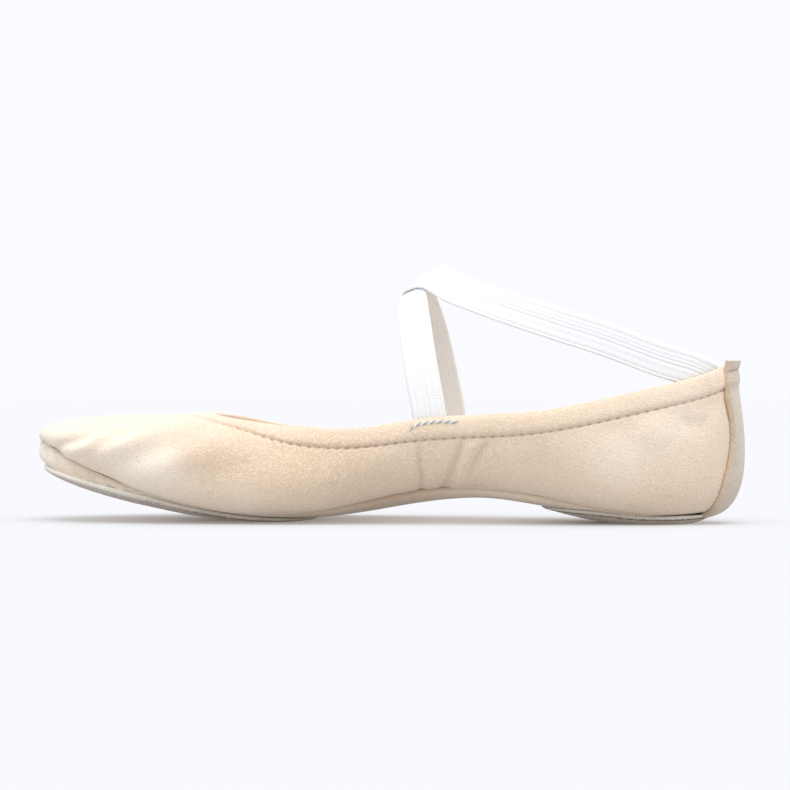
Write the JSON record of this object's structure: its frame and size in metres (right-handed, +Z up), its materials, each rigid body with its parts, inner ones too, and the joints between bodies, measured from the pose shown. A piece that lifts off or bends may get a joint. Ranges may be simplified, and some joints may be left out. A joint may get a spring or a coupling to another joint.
{
  "type": "gymnastics_slipper",
  "caption": "Right-foot gymnastics slipper in beige brushed leather, with a hemmed collar, crossed white elastic straps and a split outsole",
  "frame": {"origin": "on the floor, under the middle of the shoe's bounding box", "axes": "+X runs from toe to heel, +Y to the outer side of the foot, +Z up"},
  "size_m": [0.2356, 0.0794, 0.0856],
  "materials": {
    "upper_leather": "matte",
    "panel_leather": "matte",
    "stay_leather": "matte",
    "forefoot_suede": "matte",
    "heel_suede": "matte",
    "insole_cloth": "matte",
    "white_elastic": "matte"
  },
  "bodies": {
    "root": {"upper": "upper_leather", "bottom_panel": "panel_leather", "insole": "insole_cloth", "outsole_forefoot": "forefoot_suede", "outsole_heel": "heel_suede", "heel_stay": "stay_leather", "strap_under": "white_elastic", "strap_over": "white_elastic"}
  },
  "joints": []
}
